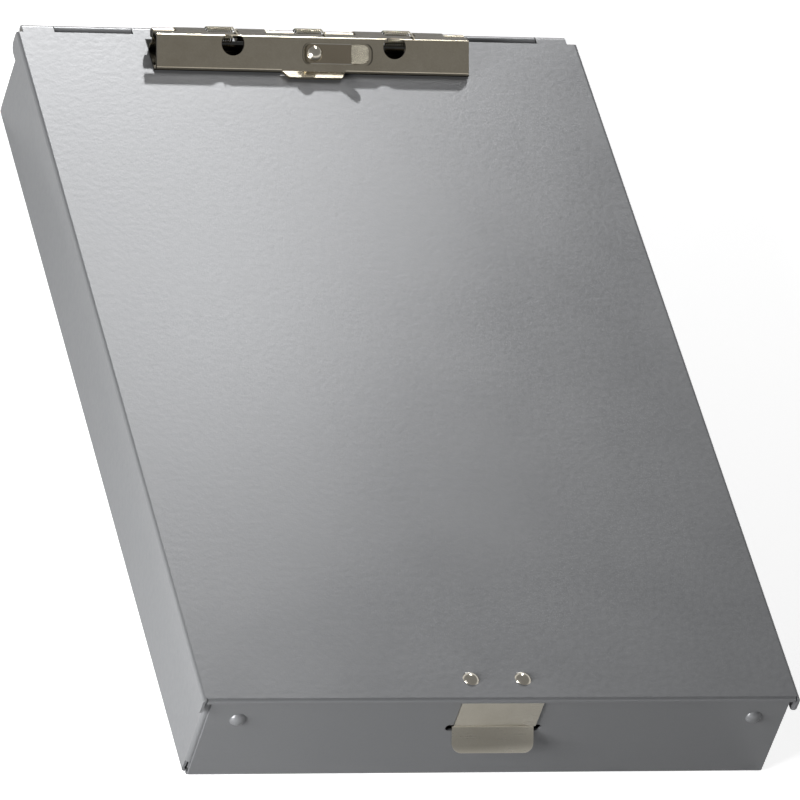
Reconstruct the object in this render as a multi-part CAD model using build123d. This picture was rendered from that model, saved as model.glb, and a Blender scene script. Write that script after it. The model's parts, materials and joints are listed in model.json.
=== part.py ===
from build123d import *

import math
import os

# Storage clipboard box: a folded sheet tray, a hinged lid that is the writing board, a spring clip on the
# lid's hinge end and a snap latch on its front end.
# Frame: origin in the middle of the tray's underside, X across, Y from latch to hinge, Z up. Millimetres.

# Tray
box_width = 225.0
box_length = 343.5
sheet = 1.0
bend_inner = 0.5
floor_tuck = 6.0
front_wall_gap = 1.3
wall_edge_inset = 0.9
wall_offset_x = 0.9
corner_flange = 22.0
corner_relief_width = 1.2
corner_relief_height = 5.0
flange_floor_gap = 3.0

# Lid
lid_top_height = 43.0
lid_side_gap = 1.7
lid_seat_gap = 0.3
lid_bend_inner = 0.25
flange_depth = 8.6
flange_corner_radius = 3.6
lip_depth = 2.0
lip_overhang = 1.85
lip_bend_inner = 0.25
lip_side_gap = 0.4
lip_tuck = 4.0

# Main hinge
hinge_offset_x = -0.7
hinge_rod_diameter = 2.4
hinge_fit = 0.03
hinge_end_inset = 0.9
end_knuckle_length = 12.5
box_knuckle_length = 31.0
knuckle_gap = 0.4
knuckle_root = 1.0
moving_gap = 0.35
roll_angle = 262.0

# Corner rivets
corner_rivet_diameter = 3.2
corner_rivet_head = 6.2
corner_rivet_dome = 1.7
corner_rivet_inset = 12.75
corner_rivet_height = 30.7
rivet_tail = 0.9
rivet_tail_spread = 1.6
drill_reach = 4.0

# Clip, measured from the lid's top and from the main hinge's axis
clip_offset_x = 0.5
clip_setback = 8.2
clip_rise = 6.2
clip_rod_diameter = 2.5
clip_width = 127.6
base_sheet = 0.8
base_side_margin = 0.6
base_front_reach = 14.1
base_upstand_lead = 1.42
base_bend_inner = 0.4
base_upstand_rise = 3.0
foot_slot_gap = 0.5
jaw_sheet = 1.2
jaw_bend_inner = 0.2
jaw_apex_forward = 5.2
jaw_apex_rise = 4.0
jaw_lip_forward = 14.1
jaw_lip_height = 1.9
jaw_lip_gap = 0.2
low_outer_length = 8.6
high_outer_length = 12.1
clip_knuckle_gap = 0.3

# Clip springs
spring_wire = 0.6
spring_outer_diameter = 6.4
spring_turns = 9
spring_pitch = 1.06
spring_leg = 5.6
spring_foot = 6.2
spring_foot_rise = 20.0
spring_side_gap = 1.0
spring_bay_spare = 3.06
samples_per_arc = 6

# Jaw details, measured on its face down from the apex
jaw_hole_diameter = 9.3
jaw_hole_spacing = 66.1
jaw_hole_down = 3.1
thumb_root_width = 26.2
thumb_end_width = 21.4
thumb_reach = 3.55
thumb_knee_drop = 0.6

# Hanging hook
hook_sheet = 1.2
hook_width = 7.9
hook_flat_length = 18.5
hook_end_overhang = 3.5
hook_end_radius = 2.6
hook_bend_inner = 0.4
hook_finger_length = 7.1
hook_finger_angle = 32.0
hook_finger_width = 7.3
hook_finger_corner = 2.9
hook_down = 6.3
hook_clearance = 0.05
hook_boss_diameter = 6.4
hook_seat_depth = 0.3
hook_seat_margin = 0.35
hook_seat_end_margin = 2.9
hook_seat_left_margin = 1.0
hook_seat_corner = 3.2
hook_rivet_diameter = 2.6
hook_rivet_head = 6.3
hook_rivet_dome = 1.9

# Clip base rivets
clip_rivet_diameter = 3.0
clip_rivet_head = 6.0
clip_rivet_dome = 1.0
clip_rivet_inset = 20.15
clip_rivet_forward = 7.6

# Latch
latch_offset_x = 0.2
latch_sheet = 0.5
latch_width = 31.6
latch_foot = 15.0
latch_bend_inner = 0.35
latch_wall_gap = 0.25
latch_nose_depth = 1.45
latch_nose_drop = 1.6
latch_tab_reach = 5.7
latch_tab_drop = 6.95
latch_tab_corner = 3.7
slot_height = 3.2
slot_length = 37.1
slot_centre = 25.65
latch_rivet_offset_x = -0.95
latch_rivet_spacing = 20.1
latch_rivet_setback = 8.4
latch_rivet_diameter = 2.6
latch_rivet_head = 6.3
latch_rivet_dome = 1.6

# Worked out from the sizes above
front_face = -box_length / 2
back_face = box_length / 2
side_face = box_width / 2
lid_underside = lid_top_height - sheet
lid_side_face = side_face + lid_side_gap + sheet
side_wall_height = lid_underside - lid_seat_gap
front_wall_height = lid_underside - front_wall_gap
hinge_bore = hinge_rod_diameter / 2 + hinge_fit
hinge_roll = hinge_bore + sheet / 2
hinge_outer = hinge_bore + sheet
hinge_y = back_face - sheet / 2 + hinge_roll
hinge_z = lid_top_height - hinge_outer
hinge_end = side_face - hinge_end_inset
lid_back = hinge_y - hinge_outer - moving_gap
clip_y = hinge_y - clip_setback
clip_z = lid_top_height + clip_rise
clip_bore = clip_rod_diameter / 2 + hinge_fit
base_roll = clip_bore + base_sheet / 2
jaw_roll = clip_bore + jaw_sheet / 2
coil_radius = (spring_outer_diameter - spring_wire) / 2
spring_bay = spring_wire + spring_pitch * spring_turns + spring_bay_spare


def sheet_strip(outline, bend, thickness):
    """Flat section of a folded sheet whose middle line follows the outline."""
    return trace(FilletPolyline(*outline, radius=bend), thickness)


def across(section, start, end):
    """Section in the Y-Z plane, pulled along X from start to end."""
    return extrude(Plane.YZ.offset(start) * section, end - start)


def block(x_range, y_range, z_range):
    """Box between three pairs of coordinates."""
    size = [high - low for low, high in (x_range, y_range, z_range)]
    middle = [(high + low) / 2 for low, high in (x_range, y_range, z_range)]
    return Pos(*middle) * Box(*size)


def dome_rivet(base, shank, head, dome, grip):
    """Rivet along the base plane's normal: dome above the plane, shank through the grip, flat tail below."""
    cap_radius = (head**2 / 4 + dome**2) / (2 * dome)
    cap = Pos(0, 0, dome - cap_radius) * Sphere(cap_radius)
    cap = cap & Pos(0, 0, dome / 2) * Cylinder(head, dome)
    stem = Pos(0, 0, -grip / 2) * Cylinder(shank / 2, grip)
    foot = Pos(0, 0, -grip - rivet_tail / 2) * Cylinder(shank * rivet_tail_spread / 2, rivet_tail)
    return base * (cap + stem + foot)


def hole_through(base, diameter):
    """Drill for a hole along the base plane's normal, reaching both ways."""
    return base * Cylinder(diameter / 2, 2 * drill_reach)


def tangent_to_roll(start, centre, radius):
    """Direction from start to the roll, in degrees, and the straight length, with the roll on the right."""
    span_y, span_z = centre[0] - start[0], centre[1] - start[1]
    distance = math.hypot(span_y, span_z)
    angle = math.degrees(math.atan2(span_z, span_y) + math.asin(radius / distance))
    return angle, math.sqrt(distance**2 - radius**2)


def along(start, angle, length):
    """Point at a distance from start in the direction of the angle."""
    turn = math.radians(angle)
    return (start[0] + length * math.cos(turn), start[1] + length * math.sin(turn))


def mirrored(spans, middle):
    """The spans along X and their mirror images, shifted to the middle."""
    both = spans + [(-end, -start) for start, end in spans]
    return [(start + middle, end + middle) for start, end in both]


def rolled_strip(outline, bend, centre, radius, thickness):
    """Folded strip whose last leg runs on into a roll about the centre."""
    angle, length = tangent_to_roll(outline[-1], centre, radius)
    touch = along(outline[-1], angle, length)
    heading = along((0, 0), angle, 1)
    roll = JernArc(start=touch, tangent=heading, radius=radius, arc_size=-roll_angle)
    if bend:
        straight = FilletPolyline(*outline, touch, radius=bend)
    else:
        straight = Polyline(*outline, touch)
    return trace(straight, thickness) + trace(roll, thickness)


# Main hinge: where the knuckles lie

end_knuckle = (hinge_end - end_knuckle_length, hinge_end)
box_knuckle = (end_knuckle[0] - knuckle_gap - box_knuckle_length, end_knuckle[0] - knuckle_gap)
middle_half = box_knuckle[0] - knuckle_gap
middle_knuckle = (hinge_offset_x - middle_half, hinge_offset_x + middle_half)
box_knuckles = mirrored([box_knuckle], hinge_offset_x)
lid_knuckles = mirrored([end_knuckle], hinge_offset_x) + [middle_knuckle]


# Tray

def corner_rivet_planes():
    """Base planes of the four corner rivets, each on the outer face of its wall."""
    reach = side_face - corner_rivet_inset
    planes = {}
    for side, x in (("left", wall_offset_x - reach), ("right", wall_offset_x + reach)):
        front = (x, front_face, corner_rivet_height)
        back = (x, back_face, corner_rivet_height)
        planes["front_rivet_" + side] = Plane(origin=front, x_dir=(1, 0, 0), z_dir=(0, -1, 0))
        planes["back_rivet_" + side] = Plane(origin=back, x_dir=(1, 0, 0), z_dir=(0, 1, 0))
    return planes


def make_box_tray():
    """Tray folded from one sheet, with flanges inside its corners and hinge knuckles on its back wall."""
    half = sheet / 2
    bend = bend_inner + half
    side = side_face - half
    across_floor = sheet_strip(
        [(-side, side_wall_height), (-side, half), (side, half), (side, side_wall_height)], bend, sheet
    )
    inner_front, inner_back = front_face + sheet, back_face - sheet
    back_top = hinge_z - hinge_outer - moving_gap
    straight_front = inner_front + bend + half
    straight_back = inner_back - bend - half
    tray = extrude(Plane.XZ.offset(-straight_back) * across_floor, straight_back - straight_front)
    floor_reach = side - bend
    tray += block((-floor_reach, floor_reach), (inner_front, inner_back), (0, sheet))

    flange_end = side_face - corner_flange
    for sign in (-1, 1):
        corner_path = [
            (sign * flange_end, inner_front + half),
            (sign * side, inner_front + half),
            (sign * side, inner_back - half),
            (sign * flange_end, inner_back - half),
        ]
        wall = Pos(0, 0, flange_floor_gap) * sheet_strip(corner_path, bend, sheet)
        tray += extrude(wall, side_wall_height - flange_floor_gap)
    tray -= block((-lid_side_face, lid_side_face), (inner_back - sheet, back_face), (back_top, lid_underside))

    front_line = front_face + half
    front_wall = [(front_line, front_wall_height), (front_line, half), (front_line + floor_tuck, half)]
    wall_half = side_face - wall_edge_inset
    wall_left, wall_right = wall_offset_x - wall_half, wall_offset_x + wall_half
    tray += across(sheet_strip(front_wall, bend, sheet), wall_left, wall_right)
    back_line = back_face - half
    back_wall = [(back_line, back_top), (back_line, half), (back_line - floor_tuck, half)]
    tray += across(sheet_strip(back_wall, bend, sheet), wall_left, wall_right)
    knuckle = rolled_strip([(back_line, back_top - knuckle_root)], 0, (hinge_y, hinge_z), hinge_roll, sheet)
    for start, end in box_knuckles:
        tray += across(knuckle, start, end)

    slot = Plane(origin=(latch_offset_x, front_face, slot_centre), x_dir=(1, 0, 0), z_dir=(0, -1, 0))
    tray -= extrude(slot * SlotOverall(slot_length, slot_height), drill_reach, both=True)
    relief_top = sheet + bend_inner + corner_relief_height
    for sign in (-1, 1):
        for y in (inner_front, inner_back - corner_relief_width):
            edge = sorted((sign * (side_face - sheet - bend_inner), sign * lid_side_face))
            tray -= block(edge, (y, y + corner_relief_width), (sheet, relief_top))
    for plane in corner_rivet_planes().values():
        tray -= hole_through(plane, corner_rivet_diameter)
    return tray


def make_corner_rivet(plane):
    """Dome rivet through a wall and the flange behind it."""
    return dome_rivet(plane, corner_rivet_diameter, corner_rivet_head, corner_rivet_dome, 2 * sheet)


def make_hinge_rod():
    """Rod through all knuckles of tray and lid."""
    rod = Rot(0, 90, 0) * Cylinder(hinge_rod_diameter / 2, 2 * hinge_end)
    return Pos(hinge_offset_x, hinge_y, hinge_z) * rod


# Lid

lip_face = front_face - lip_overhang
lip_bend_back = lip_face + sheet + lip_bend_inner
latch_rivet_y = front_face + latch_rivet_setback
clip_rivet_y = clip_y - clip_rivet_forward


def latch_rivet_planes():
    """Base planes of the two latch rivets on the lid's top."""
    planes = {}
    for side, sign in (("left", -1), ("right", 1)):
        x = latch_rivet_offset_x + sign * latch_rivet_spacing / 2
        planes["latch_rivet_" + side] = Plane(origin=(x, latch_rivet_y, lid_top_height), z_dir=(0, 0, 1))
    return planes


def clip_rivet_planes():
    """Base planes of the rivets on top of the clip's base plate."""
    planes = {}
    for side, step in (("left", -1), ("middle", 0), ("right", 1)):
        x = clip_offset_x + step * (clip_width / 2 - clip_rivet_inset)
        top = lid_top_height + base_sheet
        planes["clip_rivet_" + side] = Plane(origin=(x, clip_rivet_y, top), z_dir=(0, 0, 1))
    return planes


def make_lid_panel():
    """Writing board with side flanges, a short front lip and three rolled knuckles."""
    half = sheet / 2
    side = lid_side_face - half
    level = lid_underside + half
    flange_bottom = lid_top_height - flange_depth
    section = sheet_strip(
        [(-side, flange_bottom), (-side, level), (side, level), (side, flange_bottom)],
        lid_bend_inner + half,
        sheet,
    )
    length = lid_back - lip_face
    panel = extrude(Plane.XZ.offset(-lid_back) * section, length)
    outline = Pos(lip_face + length / 2, lid_top_height) * Rectangle(length, 2 * flange_depth)
    outline = fillet(outline.vertices().sort_by(Axis.Y)[:2], flange_corner_radius)
    panel = panel & across(outline, -2 * side, 2 * side)

    lip_line = lip_face + half
    lip = [(lip_bend_back + lip_tuck, level), (lip_line, level), (lip_line, lid_top_height - lip_depth)]
    flat_end = lid_side_face - sheet - lid_bend_inner
    lip_end = flat_end - lip_side_gap
    front_heights = (flange_bottom, lid_top_height + sheet)
    panel -= block((-flat_end, flat_end), (lip_face - sheet, lip_bend_back), front_heights)
    panel += across(sheet_strip(lip, lip_bend_inner + half, sheet), -lip_end, lip_end)

    knuckle = rolled_strip([(lid_back - knuckle_root, level)], 0, (hinge_y, hinge_z), hinge_roll, sheet)
    for start, end in lid_knuckles:
        panel += across(knuckle, start, end)
    for plane in latch_rivet_planes().values():
        panel -= hole_through(plane, latch_rivet_diameter)
    for plane in clip_rivet_planes().values():
        panel -= hole_through(plane, clip_rivet_diameter)
    return panel


# Clip: where the knuckles and springs lie, from its middle

clip_half = clip_width / 2
low_outer_span = (clip_half - low_outer_length, clip_half)
high_outer_end = low_outer_span[0] - clip_knuckle_gap
high_outer_span = (high_outer_end - high_outer_length, high_outer_end)
side_bay = (high_outer_span[0] - spring_bay, high_outer_span[0])
inner_length = (side_bay[0] - spring_bay / 2 - clip_knuckle_gap) / 2
low_inner_span = (spring_bay / 2, spring_bay / 2 + inner_length)
high_inner_span = (side_bay[0] - inner_length, side_bay[0])
low_spans = [low_outer_span, low_inner_span]
high_spans = [high_outer_span, high_inner_span]
spring_starts = {
    "left": -side_bay[1] + spring_side_gap,
    "middle": -spring_bay / 2 + spring_side_gap,
    "right": side_bay[0] + spring_side_gap,
}


def make_clip_base():
    """Base plate on the lid, whose back edge stands up and rolls into the four small knuckles."""
    half = base_sheet / 2
    bend = base_bend_inner + half
    level = lid_top_height + half
    front = clip_y - base_front_reach
    foot = (clip_y - base_roll - base_upstand_lead, level)
    stub = (foot[0], level + base_upstand_rise)
    reach = clip_half + base_side_margin
    plate = sheet_strip([(front, level), foot, stub], bend, base_sheet)
    base = across(plate, clip_offset_x - reach, clip_offset_x + reach)
    rolled = rolled_strip([(front, level), foot], bend, (clip_y, clip_z), base_roll, base_sheet)
    for start, end in mirrored(low_spans, clip_offset_x):
        base += across(rolled, start, end)
    for start in spring_starts.values():
        left = clip_offset_x + start - foot_slot_gap
        slot = (left, left + spring_wire + 2 * foot_slot_gap)
        top = level + half + foot_slot_gap
        base -= block(slot, (foot[0] - base_sheet, foot[0] + base_sheet), (top, clip_z))
    for plane in clip_rivet_planes().values():
        base -= hole_through(plane, clip_rivet_diameter)
    return base


def make_clip_rivet(plane):
    """Low-headed rivet through the base plate and the lid."""
    return dome_rivet(plane, clip_rivet_diameter, clip_rivet_head, clip_rivet_dome, base_sheet + sheet)


def make_clip_rod():
    """Rod through the clip's knuckles and springs."""
    rod = Rot(0, 90, 0) * Cylinder(clip_rod_diameter / 2, clip_width)
    return Pos(clip_offset_x, clip_y, clip_z) * rod


# The jaw's middle line: lip, sloping face, apex, back slope, roll. The face's plane carries holes and hook.
apex_middle = (clip_y - jaw_apex_forward, clip_z + jaw_apex_rise)
lip_corner = (clip_y - jaw_lip_forward, lid_top_height + jaw_lip_height)
lip_end = (lip_corner[0], lid_top_height + base_sheet + jaw_lip_gap)
face_angle = math.degrees(math.atan2(apex_middle[1] - lip_corner[1], apex_middle[0] - lip_corner[0]))
lip_face_y = lip_corner[0] - jaw_sheet / 2
thumb_knee = along(lip_corner, face_angle, -thumb_knee_drop / math.sin(math.radians(face_angle)))
back_angle, back_length = tangent_to_roll(apex_middle, (clip_y, clip_z), jaw_roll)
half_turn = (face_angle - back_angle) / 2
corner_lift = jaw_sheet / 2 / math.cos(math.radians(half_turn))
apex_outer = along(apex_middle, back_angle + half_turn + 90, corner_lift)


def sloped_plane(x, angle, reach):
    """Plane square to the jaw's section, at a signed distance from the outer apex along a slope."""
    y, z = along(apex_outer, angle, reach)
    outward = along((0, 0), angle + 90, 1)
    return Plane(origin=(clip_offset_x + x, y, z), x_dir=(1, 0, 0), z_dir=(0, outward[0], outward[1]))


def face_plane(x, down):
    """Plane on the jaw's outer face, its X along the clip and its Y up the slope."""
    return sloped_plane(x, face_angle, -down)


def jaw_hole(x):
    """Hole punched across the apex before the bend: its larger part is on the face, the rest on the back."""
    reach = 2 * jaw_hole_diameter
    half_space = Box(reach, reach, 2 * drill_reach)
    on_face = hole_through(face_plane(x, jaw_hole_down), jaw_hole_diameter)
    on_face = on_face & (face_plane(x, 0) * Pos(0, -reach / 2, 0) * half_space)
    on_back = hole_through(sloped_plane(x, back_angle, -jaw_hole_down), jaw_hole_diameter)
    on_back = on_back & (sloped_plane(x, back_angle, 0) * Pos(0, reach / 2, 0) * half_space)
    return on_face + on_back


def thumb_wedges():
    """Wedges that slant the thumb tab's two ends, seen from above."""
    depth = 2 * thumb_reach
    slant = (thumb_root_width - thumb_end_width) / 2
    height = clip_rise + jaw_apex_rise
    wedges = []
    for sign in (-1, 1):
        corners = [
            (clip_offset_x + sign * thumb_root_width / 2, lip_face_y),
            (clip_offset_x + sign * (thumb_root_width / 2 - 2 * slant), lip_face_y - depth),
            (clip_offset_x + sign * (thumb_root_width / 2 + slant), lip_face_y - depth),
        ]
        wedge = make_face(Polyline(*corners, close=True))
        wedges.append(extrude(Pos(0, 0, lid_top_height) * wedge, height))
    return wedges


def make_clip_jaw():
    """Jaw bent like a roof: lip and face in front, back slope rolled into the four large knuckles."""
    bend = jaw_bend_inner + jaw_sheet / 2
    notch = math.sqrt((spring_outer_diameter / 2 + moving_gap) ** 2 - clip_bore**2)
    ridge = along(apex_middle, back_angle, back_length - notch)
    roof = sheet_strip([lip_end, lip_corner, apex_middle, ridge], bend, jaw_sheet)
    tab_end = (lip_face_y - thumb_reach, thumb_knee[1])
    tab = sheet_strip([tab_end, thumb_knee, apex_middle, ridge], bend, jaw_sheet)
    thumb_left = clip_offset_x - thumb_root_width / 2
    thumb_right = clip_offset_x + thumb_root_width / 2
    jaw = across(roof, clip_offset_x - clip_half, thumb_left)
    jaw += across(tab, thumb_left, thumb_right)
    jaw += across(roof, thumb_right, clip_offset_x + clip_half)
    rolled = rolled_strip([lip_end, lip_corner, apex_middle], bend, (clip_y, clip_z), jaw_roll, jaw_sheet)
    for start, end in mirrored(high_spans, clip_offset_x):
        jaw += across(rolled, start, end)

    for wedge in thumb_wedges():
        jaw -= wedge
    for sign in (-1, 1):
        jaw -= jaw_hole(sign * jaw_hole_spacing / 2)
    seat = face_plane(0, hook_down) * Pos(hook_seat_middle, 0, -hook_seat_depth)
    seat_width = hook_width + 2 * hook_seat_margin
    seat_outline = RectangleRounded(hook_seat_length, seat_width, hook_seat_corner)
    boss = Pos(-hook_seat_middle, 0) * Circle(hook_boss_diameter / 2)
    jaw -= extrude(seat * (seat_outline - boss), drill_reach)
    jaw -= hole_through(face_plane(0, hook_down), hook_rivet_diameter + 2 * hinge_fit)
    return jaw


# Hanging hook, measured from its rivet

hook_knee = hook_flat_length - hook_end_overhang
hook_tip = along((hook_knee, hook_sheet / 2), hook_finger_angle, hook_finger_length)
hook_seat_start = -hook_end_overhang - hook_seat_left_margin
hook_seat_end = hook_tip[0] + hook_seat_end_margin
hook_seat_length = hook_seat_end - hook_seat_start
hook_seat_middle = (hook_seat_start + hook_seat_end) / 2


def make_hang_hook():
    """Strip that swivels on the jaw's face, with a finger bent up at its free end."""
    half = hook_sheet / 2
    bottom = face_plane(0, hook_down) * Pos(0, 0, hook_clearance)
    side_line = [(-hook_end_overhang, half), (hook_knee, half), hook_tip]
    side_view = sheet_strip(side_line, hook_bend_inner + half, hook_sheet)
    folded = extrude(bottom * Rot(90, 0, 0) * Pos(0, 0, -hook_width / 2) * side_view, hook_width)

    strip = Pos((hook_knee - hook_end_overhang) / 2, 0) * Rectangle(hook_flat_length, hook_width)
    strip = fillet(strip.vertices().sort_by(Axis.X)[:2], hook_end_radius)
    finger = RectangleRounded(2 * (hook_tip[0] - hook_knee), hook_finger_width, hook_finger_corner)
    finger = Pos(hook_knee, 0) * finger
    hook = folded & extrude(bottom * (strip + finger), hook_sheet + hook_finger_length)
    return hook - hole_through(bottom, hook_rivet_diameter + 2 * hinge_fit)


def make_hook_rivet():
    """Bright dome rivet through the hook and the jaw's face."""
    top = hook_sheet + 2 * hook_clearance
    plane = face_plane(0, hook_down) * Pos(0, 0, top)
    return dome_rivet(plane, hook_rivet_diameter, hook_rivet_head, hook_rivet_dome, top + jaw_sheet)


# Clip springs

def biarc(start, heading, end, end_heading):
    """Two arcs that join two points and leave them along the given headings."""
    chord = end - start
    total = heading + end_heading
    spread = 2 * (1 - heading.dot(end_heading))
    reach = (math.sqrt(chord.dot(total) ** 2 + spread * chord.dot(chord)) - chord.dot(total)) / spread
    joint = (start + end + (heading - end_heading) * reach) * 0.5
    first = Edge.make_tangent_arc(start, heading, joint)
    second = Edge.make_tangent_arc(joint, first % 1, end)
    return [first, second]


def spring_points(start_x, first_angle, last_angle):
    """Points and headings of a coil about the clip's rod, half a turn or less apart."""
    steps = math.ceil((last_angle - first_angle) / 180)
    rise = spring_pitch / 360
    slope = math.degrees(rise)
    points = []
    for step in range(steps + 1):
        angle = first_angle + (last_angle - first_angle) * step / steps
        turn = math.radians(angle)
        x = start_x + rise * (angle - first_angle)
        point = Vector(x, clip_y + coil_radius * math.cos(turn), clip_z + coil_radius * math.sin(turn))
        heading = Vector(slope, -coil_radius * math.sin(turn), coil_radius * math.cos(turn)).normalized()
        points.append((point, heading))
    return points


def spring_self_gap(edges):
    """Least distance between points of the coil that are over half a turn apart, less the wire."""
    samples = [edge @ (step / samples_per_arc) for edge in edges for step in range(samples_per_arc)]
    apart = 3 * samples_per_arc
    least = min(
        (samples[i] - samples[j]).length for i in range(len(samples)) for j in range(i + apart, len(samples))
    )
    return least - spring_wire


def make_clip_spring(side):
    """Torsion spring: a foot on the base plate, the coil, and a leg along the jaw's back slope."""
    start_x = clip_offset_x + spring_starts[side] + spring_wire / 2
    points = spring_points(start_x, spring_foot_rise - 90, 360 * spring_turns + 90 + back_angle)
    edges = []
    for (start, heading), (end, end_heading) in zip(points, points[1:]):
        edges += biarc(start, heading, end, end_heading)
    first, first_heading = points[0]
    last, last_heading = points[-1]
    foot = Edge.make_line(first - first_heading * spring_foot, first)
    leg = Edge.make_line(last, last + last_heading * spring_leg)
    path = Wire([foot] + edges + [leg])
    section = Plane(origin=path @ 0, z_dir=path % 0) * Circle(spring_wire / 2)
    spring = sweep(section, path=path)
    print("clip spring", side, "least gap to itself", round(spring_self_gap(edges), 3), "mm")
    return spring


# Latch

def make_latch_spring():
    """Spring strip: foot under the lid, leg outside the front wall, nose in the slot, flared tab."""
    half = latch_sheet / 2
    level = lid_underside - half
    leg_y = front_face - latch_wall_gap - half
    nose = (leg_y + latch_nose_depth, slot_centre)
    tab_end = (leg_y - latch_tab_reach, slot_centre - latch_tab_drop)
    leg_end = (leg_y, slot_centre + latch_nose_drop)
    outline = [(leg_y + latch_foot, level), (leg_y, level), leg_end, nose, tab_end]
    left = latch_offset_x - latch_width / 2
    strip = across(sheet_strip(outline, latch_bend_inner + half, latch_sheet), left, left + latch_width)
    tip = strip.faces().sort_by(Axis.Y)[0]
    strip = fillet(tip.edges().filter_by(Axis.X, reverse=True), latch_tab_corner)
    for plane in latch_rivet_planes().values():
        strip -= hole_through(plane, latch_rivet_diameter)
    return strip


def make_latch_rivet(plane):
    """Bright dome rivet through the lid and the latch's foot."""
    return dome_rivet(plane, latch_rivet_diameter, latch_rivet_head, latch_rivet_dome, sheet + latch_sheet)


def make_parts():
    """All pieces by name."""
    parts = {
        "box_tray": make_box_tray(),
        "hinge_rod": make_hinge_rod(),
        "lid_panel": make_lid_panel(),
        "clip_base": make_clip_base(),
        "clip_rod": make_clip_rod(),
        "clip_jaw": make_clip_jaw(),
        "hang_hook": make_hang_hook(),
        "hook_rivet": make_hook_rivet(),
        "latch_spring": make_latch_spring(),
    }
    for name, plane in corner_rivet_planes().items():
        parts[name] = make_corner_rivet(plane)
    for name, plane in latch_rivet_planes().items():
        parts[name] = make_latch_rivet(plane)
    for name, plane in clip_rivet_planes().items():
        parts[name] = make_clip_rivet(plane)
    for side in spring_starts:
        parts["clip_spring_" + side] = make_clip_spring(side)
    return parts


os.makedirs("parts", exist_ok=True)
for name, part in make_parts().items():
    export_step(part, "parts/" + name + ".step")
print("main hinge axis", round(hinge_y, 3), round(hinge_z, 3))
print("clip axis", round(clip_y, 3), round(clip_z, 3))
pivot = face_plane(0, hook_down)
print("hook pivot", pivot.origin, "normal", pivot.z_dir)
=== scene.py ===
import json
import math
import bpy
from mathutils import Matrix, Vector


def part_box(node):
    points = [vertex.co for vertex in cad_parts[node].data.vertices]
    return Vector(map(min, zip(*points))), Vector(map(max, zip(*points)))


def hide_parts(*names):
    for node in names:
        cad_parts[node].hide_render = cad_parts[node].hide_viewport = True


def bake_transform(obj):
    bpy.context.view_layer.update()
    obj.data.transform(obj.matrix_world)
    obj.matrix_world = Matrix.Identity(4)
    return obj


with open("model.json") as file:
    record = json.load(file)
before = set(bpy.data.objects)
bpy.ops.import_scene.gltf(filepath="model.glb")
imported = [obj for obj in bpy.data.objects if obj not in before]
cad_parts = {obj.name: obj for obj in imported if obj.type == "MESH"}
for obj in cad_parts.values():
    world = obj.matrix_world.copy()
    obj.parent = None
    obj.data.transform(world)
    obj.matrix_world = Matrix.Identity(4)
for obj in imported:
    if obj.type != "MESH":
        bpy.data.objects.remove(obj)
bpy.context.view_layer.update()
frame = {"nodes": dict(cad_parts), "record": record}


# a socket that can be added, multiplied and so on

class Socket:
    def __init__(self, tree, socket):
        self.tree = tree
        self.socket = socket

    def sum(self, operation, first, second):
        node = self.tree.nodes.new("ShaderNodeMath")
        node.operation = operation
        for place, item in enumerate((first, second)):
            plug(self.tree, item, node.inputs[place])
        return Socket(self.tree, node.outputs[0])

    def __add__(self, other):
        return self.sum("ADD", self, other)

    def __sub__(self, other):
        return self.sum("SUBTRACT", self, other)

    def __rsub__(self, other):
        return self.sum("SUBTRACT", other, self)

    def __mul__(self, other):
        return self.sum("MULTIPLY", self, other)

    def larger(self, other):
        return self.sum("MAXIMUM", self, other)

    def smaller(self, other):
        return self.sum("MINIMUM", self, other)

    def size(self):
        return self.sum("ABSOLUTE", self, 0.0)

    def root(self):
        return self.sum("SQRT", self, 0.0)

    __radd__ = __add__
    __rmul__ = __mul__


def plug(tree, item, target):
    if isinstance(item, Socket):
        tree.links.new(item.socket, target)
    else:
        target.default_value = item


class Shader:
    def __init__(self, tree):
        self.tree = tree
        tree.nodes.clear()

    def node(self, kind, settings=None, inputs=None, output=0):
        made = self.tree.nodes.new(kind)
        for name, value in (settings or {}).items():
            setattr(made, name, value)
        for name, value in (inputs or {}).items():
            plug(self.tree, value, made.inputs[name])
        return Socket(self.tree, made.outputs[output]) if len(made.outputs) else None

    def noise(self, place, scale, detail=2.0, roughness=0.5):
        return self.node(
            "ShaderNodeTexNoise",
            inputs={"Vector": place, "Scale": scale, "Detail": detail, "Roughness": roughness},
        )

    def spread(self, value, low, high, toLow=0.0, toHigh=1.0):
        return self.node(
            "ShaderNodeMapRange",
            {"clamp": True},
            {"Value": value, "From Min": low, "From Max": high, "To Min": toLow, "To Max": toHigh},
        )

    def axes(self, vector):
        made = self.node("ShaderNodeSeparateXYZ", inputs={"Vector": vector}).socket.node
        return [Socket(self.tree, output) for output in made.outputs]

    def blendColour(self, factor, first, second):
        return self.node("ShaderNodeMix", {"data_type": "RGBA"}, {0: factor, 6: first, 7: second}, 2)

    def bump(self, height, distance, strength=1.0):
        return self.node("ShaderNodeBump", inputs={"Height": height, "Distance": distance, "Strength": strength})

    def stretched(self, scale):
        place = self.node("ShaderNodeTexCoord", output="Object")
        return self.node("ShaderNodeMapping", inputs={"Vector": place, "Scale": scale})

    def finish(self, surface):
        self.node("ShaderNodeOutputMaterial", inputs={"Surface": surface})


def newMaterial(name):
    material = bpy.data.materials.new(name)
    material.use_nodes = True
    return material, Shader(material.node_tree)


# finishes

paint = {
    "colour": (0.165, 0.169, 0.175, 1.0),
    "faded": (0.185, 0.188, 0.193, 1.0),
    # painted shade: near-black colour for the lid strip under the clip's rear
    "paintedShadeUnderClip": (0.02, 0.02, 0.018, 1.0),
    "metallic": 0.3,
    "roughness": 0.333,
    "grainPerMetre": 420.0,
    "finePerMetre": 1300.0,
    "grainDepth": 0.00003,
    "fineDepth": 0.000012,
    "patchPerMetre": 14.0,
}


# band of the lid under the clip's rear that gets painted shade: its y limits, half width, height and fade
clipShadeBand = {"shadeFrom": 0.1615, "shadeTo": 0.1680, "halfWidth": 0.0640, "level": 0.0429, "fade": 0.0006}


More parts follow.
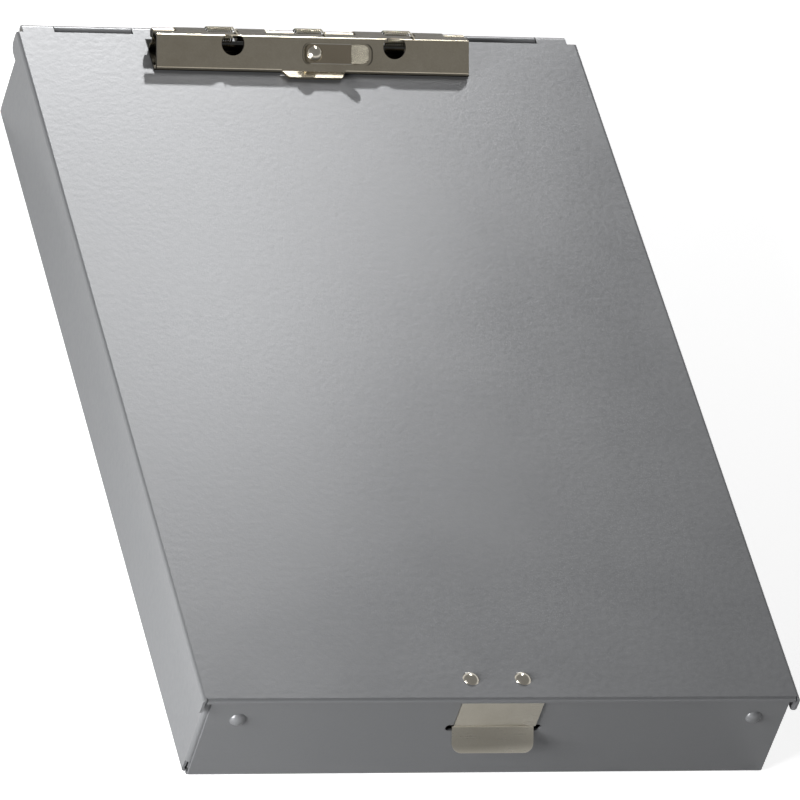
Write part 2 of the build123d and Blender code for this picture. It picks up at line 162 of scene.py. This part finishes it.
def makePaint():
    material, shader = newMaterial("paintedSteel")
    place = shader.node("ShaderNodeTexCoord", output="Object")
    x, y, z = shader.axes(place)
    # painted shade: mask of the lid strip under the clip's rear
    front = shader.spread(y, clipShadeBand["shadeFrom"], clipShadeBand["shadeFrom"] + clipShadeBand["fade"])
    back = shader.spread(y, clipShadeBand["shadeTo"], clipShadeBand["shadeTo"] - clipShadeBand["fade"])
    sides = shader.spread(x.size(), clipShadeBand["halfWidth"], clipShadeBand["halfWidth"] - clipShadeBand["fade"])
    shaded = front * back * sides * shader.spread(z, clipShadeBand["level"] - clipShadeBand["fade"], clipShadeBand["level"])
    patch = shader.spread(shader.noise(place, paint["patchPerMetre"], 3.0), 0.35, 0.65)
    grain = shader.noise(place, paint["grainPerMetre"], 2.0)
    fine = shader.noise(place, paint["finePerMetre"], 2.0)
    dots = shader.spread(fine, 0.3, 0.7, 0.0, 0.25)
    colour = shader.blendColour(patch * 0.35 + dots, paint["colour"], paint["faded"])
    # painted shade: that strip is coloured near-black and made rougher
    colour = shader.blendColour(shaded, colour, paint["paintedShadeUnderClip"])
    roughness = paint["roughness"] + (patch - 0.5) * 0.04 + (grain - 0.5) * 0.10 + shaded * 0.6
    coarse = shader.bump(grain, paint["grainDepth"])
    relief = shader.node(
        "ShaderNodeBump", inputs={"Height": fine, "Distance": paint["fineDepth"], "Normal": coarse}
    )
    surface = shader.node(
        "ShaderNodeBsdfPrincipled",
        inputs={
            "Base Color": colour,
            "Roughness": roughness,
            "Metallic": paint["metallic"],
            "Normal": relief,
        },
    )
    shader.finish(surface)
    return material


seat = {  # the recess on the jaw's face: its middle, half sizes, corner and the width of the painted shade line drawn along its outline
    "middle": (0.01021, 0.154837, 0.049597),
    "slope": (0.7313, 0.6820),
    "halfLength": 0.01421,
    "halfWidth": 0.00430,
    "corner": 0.0032,
    "line": 0.00040,
}


def seatDistance(shader, place):  # signed distance from the recess's outline, and how far into its ends
    x, y, z = shader.axes(place)
    along = (x - seat["middle"][0]).size() - (seat["halfLength"] - seat["corner"])
    slope = (y - seat["middle"][1]) * seat["slope"][0] + (z - seat["middle"][2]) * seat["slope"][1]
    across = slope.size() - (seat["halfWidth"] - seat["corner"])
    outX, outY = along.larger(0.0), across.larger(0.0)
    outside = (outX * outX + outY * outY).root()
    return outside + along.larger(across).smaller(0.0) - seat["corner"], along, across


def makePlated(name, look):
    material, shader = newMaterial(name)
    place = shader.node("ShaderNodeTexCoord", output="Object")
    streakPlace = shader.stretched((look["streakPerMetre"] * 0.02, look["streakPerMetre"], look["streakPerMetre"]))
    streak = shader.noise(streakPlace, 1.0, 3.0)
    patch = shader.noise(place, look["patchPerMetre"], 4.0, 0.6)
    speck = shader.noise(place, look["speckPerMetre"], 2.0)
    tarnish = shader.spread(patch, 0.35, 0.70)
    dullness = tarnish * 0.6 + shader.spread(speck, 0.4, 0.8, 0.0, 0.3)
    colour = shader.blendColour(dullness, look["colour"], look["dull"])
    distance, along, across = seatDistance(shader, place)
    facingX, facingY, facingZ = shader.axes(shader.node("ShaderNodeTexCoord", output="Normal"))
    # painted shade: surfaces facing partly backwards, such as the back slope and knuckles, are coloured dark
    if look["part"] in ("jaw", "base"):
        slope = shader.spread(facingY, 0.10, 0.26) * shader.spread(facingY, 0.64, 0.52)
        colour = shader.blendColour(slope, colour, look["slope"])
    if look["part"] == "jaw":
        # painted shade: a dark line along the ends of the recess outline
        seatShadeLine = shader.spread(distance.size(), seat["line"], 0.0001) * shader.spread(along, 0.0005, 0.0022, 0.0, 0.6)
        # painted shade: downward-facing surfaces are coloured dark as well
        dark = seatShadeLine.larger(shader.spread(facingZ, -0.05, -0.30))
        colour = shader.blendColour(dark, colour, look["paintedShade"])
    if look["part"] == "base":
        # painted shade: the base plate low inside the clip is coloured dark
        height = shader.axes(place)[2]
        colour = shader.blendColour(shader.spread(height, 0.0458, 0.0446), colour, look["paintedShade"])
    if look["part"] == "hook":
        # painted highlight: a bright band along the hook strip's long edges
        colour = shader.blendColour(shader.spread(across, 0.00255, 0.00275), colour, look["edge"])
        # painted shade: the bent-up finger, picked by its facing, is coloured darker
        colour = shader.blendColour(shader.spread(facingX.size(), 0.1, 0.3), colour, look["finger"])
    roughness = look["roughness"] + (patch - 0.5) * 0.10 + (streak - 0.5) * 0.12
    streaks = shader.bump(streak, look["streakDepth"])
    relief = shader.node(
        "ShaderNodeBump", inputs={"Height": speck, "Distance": look["speckDepth"], "Normal": streaks}
    )
    surface = shader.node(
        "ShaderNodeBsdfPrincipled",
        inputs={"Base Color": colour, "Roughness": roughness, "Metallic": 1.0, "Normal": relief},
    )
    shader.finish(surface)
    return material


nickel = {
    "part": "plain",
    "colour": (0.57, 0.52, 0.42, 1.0),
    "dull": (0.45, 0.40, 0.31, 1.0),
    # painted shade colour for surfaces facing partly backwards
    "slope": (0.09, 0.081, 0.064, 1.0),
    # painted shade colour for hidden and downward-facing parts
    "paintedShade": (0.05, 0.045, 0.035, 1.0),
    # painted highlight colour along the hook strip's long edges
    "edge": (0.85, 0.83, 0.76, 1.0),
    # painted shade colour for the hook's bent-up finger
    "finger": (0.27, 0.25, 0.20, 1.0),
    "roughness": 0.21,
    "streakPerMetre": 2500.0,
    "streakDepth": 0.000004,
    "patchPerMetre": 90.0,
    "speckPerMetre": 1500.0,
    "speckDepth": 0.000006,
}
jawSteel = dict(nickel, part="jaw")
baseSteel = dict(nickel, part="base")
hookSteel = dict(nickel, part="hook", colour=(0.44, 0.38, 0.29, 1.0), dull=(0.36, 0.31, 0.23, 1.0))
latchSteel = dict(nickel, colour=(0.54, 0.51, 0.44, 1.0), dull=(0.46, 0.43, 0.36, 1.0), roughness=0.30)
springSteel = dict(nickel, colour=(0.42, 0.39, 0.31, 1.0), dull=(0.29, 0.26, 0.20, 1.0), roughness=0.18)
# painted shade: rod colour darkened so the rod seen between the spring turns reads as shade
shadedRodSteel = dict(nickel, colour=(0.20, 0.19, 0.17, 1.0), dull=(0.14, 0.13, 0.11, 1.0), roughness=0.28)
brightSteel = dict(
    nickel, colour=(0.64, 0.60, 0.52, 1.0), dull=(0.56, 0.52, 0.44, 1.0), roughness=0.16, streakDepth=0.000001
)

finishes = {
    "painted_steel": makePaint(),
    "plated_steel": makePlated("satinNickel", nickel),
    "rod_steel": makePlated("shadedRod", shadedRodSteel),
    "spring_steel": makePlated("springWire", springSteel),
    "bright_rivet": makePlated("brightRivet", brightSteel),
    "latch": makePlated("latchPlate", latchSteel),
    "clip_jaw": makePlated("jawNickel", jawSteel),
    "clip_base": makePlated("baseNickel", baseSteel),
    "hang_hook": makePlated("hookNickel", hookSteel),
}
print("finishes made")

slotOf = {entry["node"]: entry["material_slot"] for entry in frame["record"]["subparts"]}
for name, node in frame["nodes"].items():
    node.data.materials.clear()
    node.data.materials.append(finishes.get(name, finishes[slotOf[name]]))
print("finishes put on the built pieces")


# modelling helpers

def deselectAll():
    if bpy.context.object and bpy.context.object.mode != "OBJECT":
        bpy.ops.object.mode_set(mode="OBJECT")
    bpy.ops.object.select_all(action="DESELECT")


def selectOnly(piece):
    deselectAll()
    piece.select_set(True)
    bpy.context.view_layer.objects.active = piece


def pick(piece, wanted, kind="VERT"):  # selects, in edit mode, what lies where wanted says
    bpy.ops.mesh.select_all(action="DESELECT")
    bpy.ops.mesh.select_mode(type=kind)
    bpy.ops.object.mode_set(mode="OBJECT")
    mesh = piece.data
    corners = [vertex.co for vertex in mesh.vertices]
    if kind == "VERT":
        for vertex in mesh.vertices:
            vertex.select = wanted(vertex.co)
    else:
        group = mesh.edges if kind == "EDGE" else mesh.polygons
        for item in group:
            item.select = all(wanted(corners[index]) for index in item.vertices)
    bpy.ops.object.mode_set(mode="EDIT")


def applyModifiers(piece):
    selectOnly(piece)
    for modifier in list(piece.modifiers):
        bpy.ops.object.modifier_apply(modifier=modifier.name)


def settle(piece):
    selectOnly(piece)
    bpy.ops.object.transform_apply(location=True, rotation=True, scale=True)


# latch strip

latch = {
    "sheet": 0.0005,
    "wallGap": 0.00025,
    "foot": 0.015,
    "legEndBelowTop": 0.01575,
    "noseIn": 0.00145,
    "noseDown": 0.0016,
    "tabOut": 0.0057,
    "tabDown": 0.00695,
    "tabCorner": 0.0037,
    "bendRadius": 0.0005,
    "edgeRound": 0.00008,
}
lidLow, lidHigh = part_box("lid_panel")
trayLow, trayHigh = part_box("box_tray")
latchLow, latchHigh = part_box("latch_spring")


def makeLatch():
    width = latchHigh.x - latchLow.x
    middle = (latchHigh.x + latchLow.x) / 2
    level = latchHigh.z - latch["sheet"] / 2
    legY = trayLow.y - latch["wallGap"] - latch["sheet"] / 2
    legEnd = lidHigh.z - latch["legEndBelowTop"]
    nose = (legY + latch["noseIn"], legEnd - latch["noseDown"])
    tab = (legY - latch["tabOut"], nose[1] - latch["tabDown"])
    deselectAll()
    bpy.ops.mesh.primitive_plane_add(size=1, location=(middle, legY + latch["foot"] / 2, level))
    strip = bpy.context.object
    strip.name = "latchStrip"
    strip.scale = (width, latch["foot"], 1)
    settle(strip)
    bpy.ops.object.mode_set(mode="EDIT")
    here = (legY, level)
    for there in ((legY, legEnd), nose, tab):
        pick(strip, lambda co: abs(co.y - here[0]) < 1e-5 and abs(co.z - here[1]) < 1e-5, "EDGE")
        step = (0, there[0] - here[0], there[1] - here[1])
        bpy.ops.mesh.extrude_region_move(TRANSFORM_OT_translate={"value": step})
        here = there
    pick(strip, lambda co: abs(co.y - tab[0]) < 1e-5 and abs(co.z - tab[1]) < 1e-5)
    bpy.ops.mesh.bevel(offset=latch["tabCorner"], segments=8, affect="VERTICES")
    for line, segments in (((legY, level), 5), ((legY, legEnd), 4), (nose, 4)):
        pick(strip, lambda co: abs(co.y - line[0]) < 1e-5 and abs(co.z - line[1]) < 1e-5, "EDGE")
        bpy.ops.mesh.bevel(offset=latch["bendRadius"], segments=segments, affect="EDGES")
    for step in range(1, 10):
        cut = level - latch["bendRadius"] + (legEnd - level + 2 * latch["bendRadius"]) * step / 10
        pick(strip, lambda co: abs(co.y - legY) < 1e-5 and legEnd - 1e-4 < co.z < level, "FACE")
        bpy.ops.mesh.bisect(plane_co=(middle, legY, cut), plane_no=(0, 0, 1))
    bpy.ops.mesh.select_all(action="SELECT")
    bpy.ops.mesh.remove_doubles(threshold=1e-6)
    bpy.ops.mesh.normals_make_consistent(inside=False)
    bpy.ops.object.mode_set(mode="OBJECT")
    wall = strip.modifiers.new("wall", "SOLIDIFY")
    wall.thickness = latch["sheet"]
    wall.offset = 0
    edge = strip.modifiers.new("edge", "BEVEL")
    edge.width = latch["edgeRound"]
    edge.segments = 2
    edge.limit_method = "ANGLE"
    edge.angle_limit = math.radians(50)
    applyModifiers(strip)
    bpy.ops.object.shade_smooth_by_angle(angle=math.radians(35))
    strip.data.materials.append(finishes["latch"])
    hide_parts("latch_spring")
    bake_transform(strip)
    return strip


makeLatch()
print("latch strip made")


# clip springs

coil = {
    "wire": 0.00068,
    "outer": 0.0064,
    "turns": 11,
    "stepsPerTurn": 28,
    "wireSides": 10,
    "foot": 0.0060,
    "leg": 0.0062,
    "startDegrees": -80.0,
    "slopeDegrees": -21.9,
}


def makeSpring(side):
    node = "clip_spring_" + side
    low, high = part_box(node)
    rodLow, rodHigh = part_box("clip_rod")
    centreY = (rodLow.y + rodHigh.y) / 2
    centreZ = (rodLow.z + rodHigh.z) / 2
    radius = (coil["outer"] - coil["wire"]) / 2
    first = low.x + coil["wire"] / 2
    length = high.x - low.x - coil["wire"]
    sweepDegrees = 360 * coil["turns"] + 90 + coil["slopeDegrees"] - coil["startDegrees"]
    deselectAll()
    bpy.ops.mesh.primitive_circle_add(
        vertices=coil["wireSides"], radius=coil["wire"] / 2, location=(first, centreY, centreZ)
    )
    spring = bpy.context.object
    spring.name = "clipSpring" + side.capitalize()
    bpy.ops.object.mode_set(mode="EDIT")
    bpy.ops.mesh.select_all(action="SELECT")
    bpy.ops.transform.translate(value=(0, radius, 0))
    bpy.ops.object.mode_set(mode="OBJECT")
    start = math.radians(coil["startDegrees"])
    spring.rotation_euler = (start, 0, 0)
    bpy.ops.object.transform_apply(location=False, rotation=True, scale=False)
    winding = spring.modifiers.new("winding", "SCREW")
    winding.axis = "X"
    winding.angle = math.radians(sweepDegrees)
    winding.screw_offset = length
    winding.steps = winding.render_steps = int(coil["stepsPerTurn"] * sweepDegrees / 360)
    winding.use_merge_vertices = False
    applyModifiers(spring)
    settle(spring)
    end = math.radians(coil["startDegrees"] + sweepDegrees)
    ends = [
        (start, first, -coil["foot"]),
        (end, first + length, coil["leg"]),
    ]
    bpy.ops.object.mode_set(mode="EDIT")
    for turn, x, reach in ends:
        centre = Vector((x, centreY + radius * math.cos(turn), centreZ + radius * math.sin(turn)))
        along = Vector((0, -math.sin(turn), math.cos(turn)))
        near = coil["wire"] * 0.51
        pick(spring, lambda co: (co - centre).length < near and abs((co - centre).dot(along)) < 4e-5, "EDGE")
        bpy.ops.mesh.extrude_region_move(TRANSFORM_OT_translate={"value": tuple(along * reach)})
        bpy.ops.mesh.edge_face_add()
    bpy.ops.mesh.select_all(action="SELECT")
    bpy.ops.mesh.normals_make_consistent(inside=False)
    bpy.ops.object.mode_set(mode="OBJECT")
    bpy.ops.object.shade_smooth_by_angle(angle=math.radians(40))
    spring.data.materials.append(finishes["spring_steel"])
    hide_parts(node)
    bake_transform(spring)
    return spring


for side in ("left", "middle", "right"):
    makeSpring(side)
print("clip springs made")


# floor, backdrop, lamps and camera

studio = {
    "floorSize": 12.0,
    "floorColour": (0.80, 0.80, 0.80, 1.0),
    "floorGlow": 0.66,
    "glowStarts": 0.30,
    "glowFull": 0.60,
    "horizon": 1.0,
    "ceiling": 0.27,
    "horizonTop": 0.12,
    "ceilingStart": 0.42,
    "ambient": 0.06,
}
lamps = {  # place, point it looks at, width, height, watts
    "key": ((0.586, 1.974, 1.210), (0, 0.15, 0.05), 0.08, 0.08, 26.5),
    "back": ((0.112, 0.382, 0.443), (0, 0.15, 0.05), 0.12, 0.12, 0.25),
    "glint": ((0.490, 1.170, 1.029), (0, 0.15, 0.05), 0.09, 0.09, 0.28),
    "left": ((-0.80, -0.41, 0.28), (-0.11, 0, 0.03), 0.50, 0.40, 15.5),
}
view = {
    "place": (-1.0484, -2.0576, 2.1696),
    "turnDegrees": (45.3296, -14.3251, -13.4143),
    "lens": 376.14,
    "filmWidth": 36.0,
}


def makeFloor():
    deselectAll()
    bpy.ops.mesh.primitive_plane_add(size=studio["floorSize"], location=(0, 0, 0))
    floor = bpy.context.object
    floor.name = "floor"
    material, shader = newMaterial("paleFloor")
    place = shader.node("ShaderNodeTexCoord", output="Object")
    distance = shader.node("ShaderNodeVectorMath", {"operation": "LENGTH"}, {0: place}, 1)
    away = shader.spread(distance, studio["glowStarts"], studio["glowFull"])
    camera = shader.node("ShaderNodeLightPath", output="Is Camera Ray")
    glossy = shader.node("ShaderNodeLightPath", output="Is Glossy Ray")
    through = shader.node("ShaderNodeLightPath", output="Is Transmission Ray")
    factor = camera + (glossy + through) * away
    diffuse = shader.node("ShaderNodeBsdfDiffuse", inputs={"Color": studio["floorColour"]})
    glow = shader.node("ShaderNodeEmission", inputs={"Color": (1, 1, 1, 1), "Strength": studio["floorGlow"]})
    both = shader.node("ShaderNodeAddShader", inputs={0: diffuse, 1: glow})
    shader.finish(shader.node("ShaderNodeMixShader", inputs={0: factor, 1: diffuse, 2: both}))
    floor.data.materials.append(material)


def makeWorld():
    world = bpy.data.worlds.new("studio")
    world.use_nodes = True
    bpy.context.scene.world = world
    shader = Shader(world.node_tree)
    direction = shader.node("ShaderNodeTexCoord", output="Generated")
    height = shader.node("ShaderNodeSeparateXYZ", inputs={"Vector": direction}, output=2)
    fall = (studio["horizonTop"], studio["ceilingStart"], studio["horizon"], studio["ceiling"])
    level = shader.spread(height, *fall)
    camera = shader.node("ShaderNodeLightPath", output="Is Camera Ray")
    glossy = shader.node("ShaderNodeLightPath", output="Is Glossy Ray")
    strength = camera + glossy * level + (1 - camera - glossy) * studio["ambient"]
    background = shader.node("ShaderNodeBackground", inputs={"Color": (1, 1, 1, 1), "Strength": strength})
    shader.node("ShaderNodeOutputWorld", inputs={"Surface": background})


def makeLamp(name):
    place, aim, width, height, watts = lamps[name]
    bpy.ops.object.light_add(type="AREA", location=place)
    lamp = bpy.context.object
    lamp.name = name
    lamp.rotation_euler = (Vector(aim) - Vector(place)).to_track_quat("-Z", "Y").to_euler()
    lamp.data.shape = "RECTANGLE"
    lamp.data.size = width
    lamp.data.size_y = height
    lamp.data.energy = watts


def makeCamera():
    bpy.ops.object.camera_add(location=view["place"], rotation=[math.radians(turn) for turn in view["turnDegrees"]])
    camera = bpy.context.object
    camera.data.lens = view["lens"]
    camera.data.sensor_width = view["filmWidth"]
    camera.data.clip_start = 0.1
    camera.data.clip_end = 50
    bpy.context.scene.camera = camera


makeFloor()
makeWorld()
for lampName in lamps:
    makeLamp(lampName)
makeCamera()
bpy.context.scene.view_settings.view_transform = "Standard"
print("studio made")
